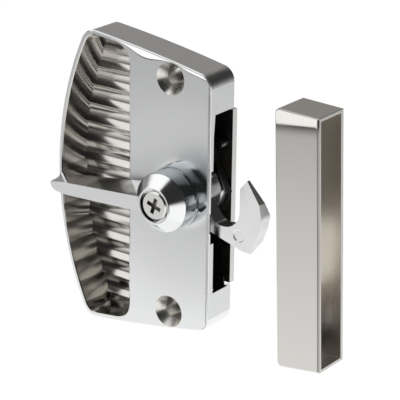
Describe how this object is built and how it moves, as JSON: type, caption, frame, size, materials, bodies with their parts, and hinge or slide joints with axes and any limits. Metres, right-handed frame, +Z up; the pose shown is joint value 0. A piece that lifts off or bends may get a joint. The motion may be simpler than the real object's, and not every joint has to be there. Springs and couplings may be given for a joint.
{
  "type": "sliding screen door latch",
  "caption": "Sliding screen door latch: a housing with a fluted finger scoop, a turning thumb lever, a swinging hook and the jamb keeper that it catches.",
  "frame": {"origin": "midway between the two mounting screws, on the housing's flat back", "axes": "X towards the jamb and the keeper, Y into the door, Z up"},
  "size_m": [0.101, 0.0291, 0.096],
  "materials": {
    "housing": "polished chrome plating on die-cast zinc",
    "lever": "polished chrome plating on die-cast zinc",
    "screw": "bright plated steel, cross recess",
    "steel": "bright zinc plated steel",
    "hook": "satin die-cast zinc",
    "spring_steel": "plain spring steel",
    "plate": "bright zinc plated steel",
    "keeper": "dull chrome plating on die-cast zinc"
  },
  "bodies": {
    "latch_case": {"housing": "housing", "detent_spring": "spring_steel", "spring_rivet": "steel", "back_plate": "plate", "plate_rivet_1": "steel", "plate_rivet_2": "steel", "plate_rivet_3": "steel"},
    "lever_set": {"lever": "lever", "pivot_screw": "screw", "lock_washer": "steel", "thrust_washer": "steel", "spacer_washer": "steel", "hook": "hook"},
    "keeper": {"keeper": "keeper"}
  },
  "joints": [
    {"name": "lever_turn", "type": "hinge", "parent": "latch_case", "child": "lever_set", "pos_m": [0.00475, 0, 0.0024], "axis": [0, -1, 0], "range_deg": [-88, 8]},
    {"name": "door_slide", "type": "slide", "parent": "latch_case", "child": "keeper", "axis": [1, 0, 0], "range_m": [-0.005, 0.03]}
  ]
}
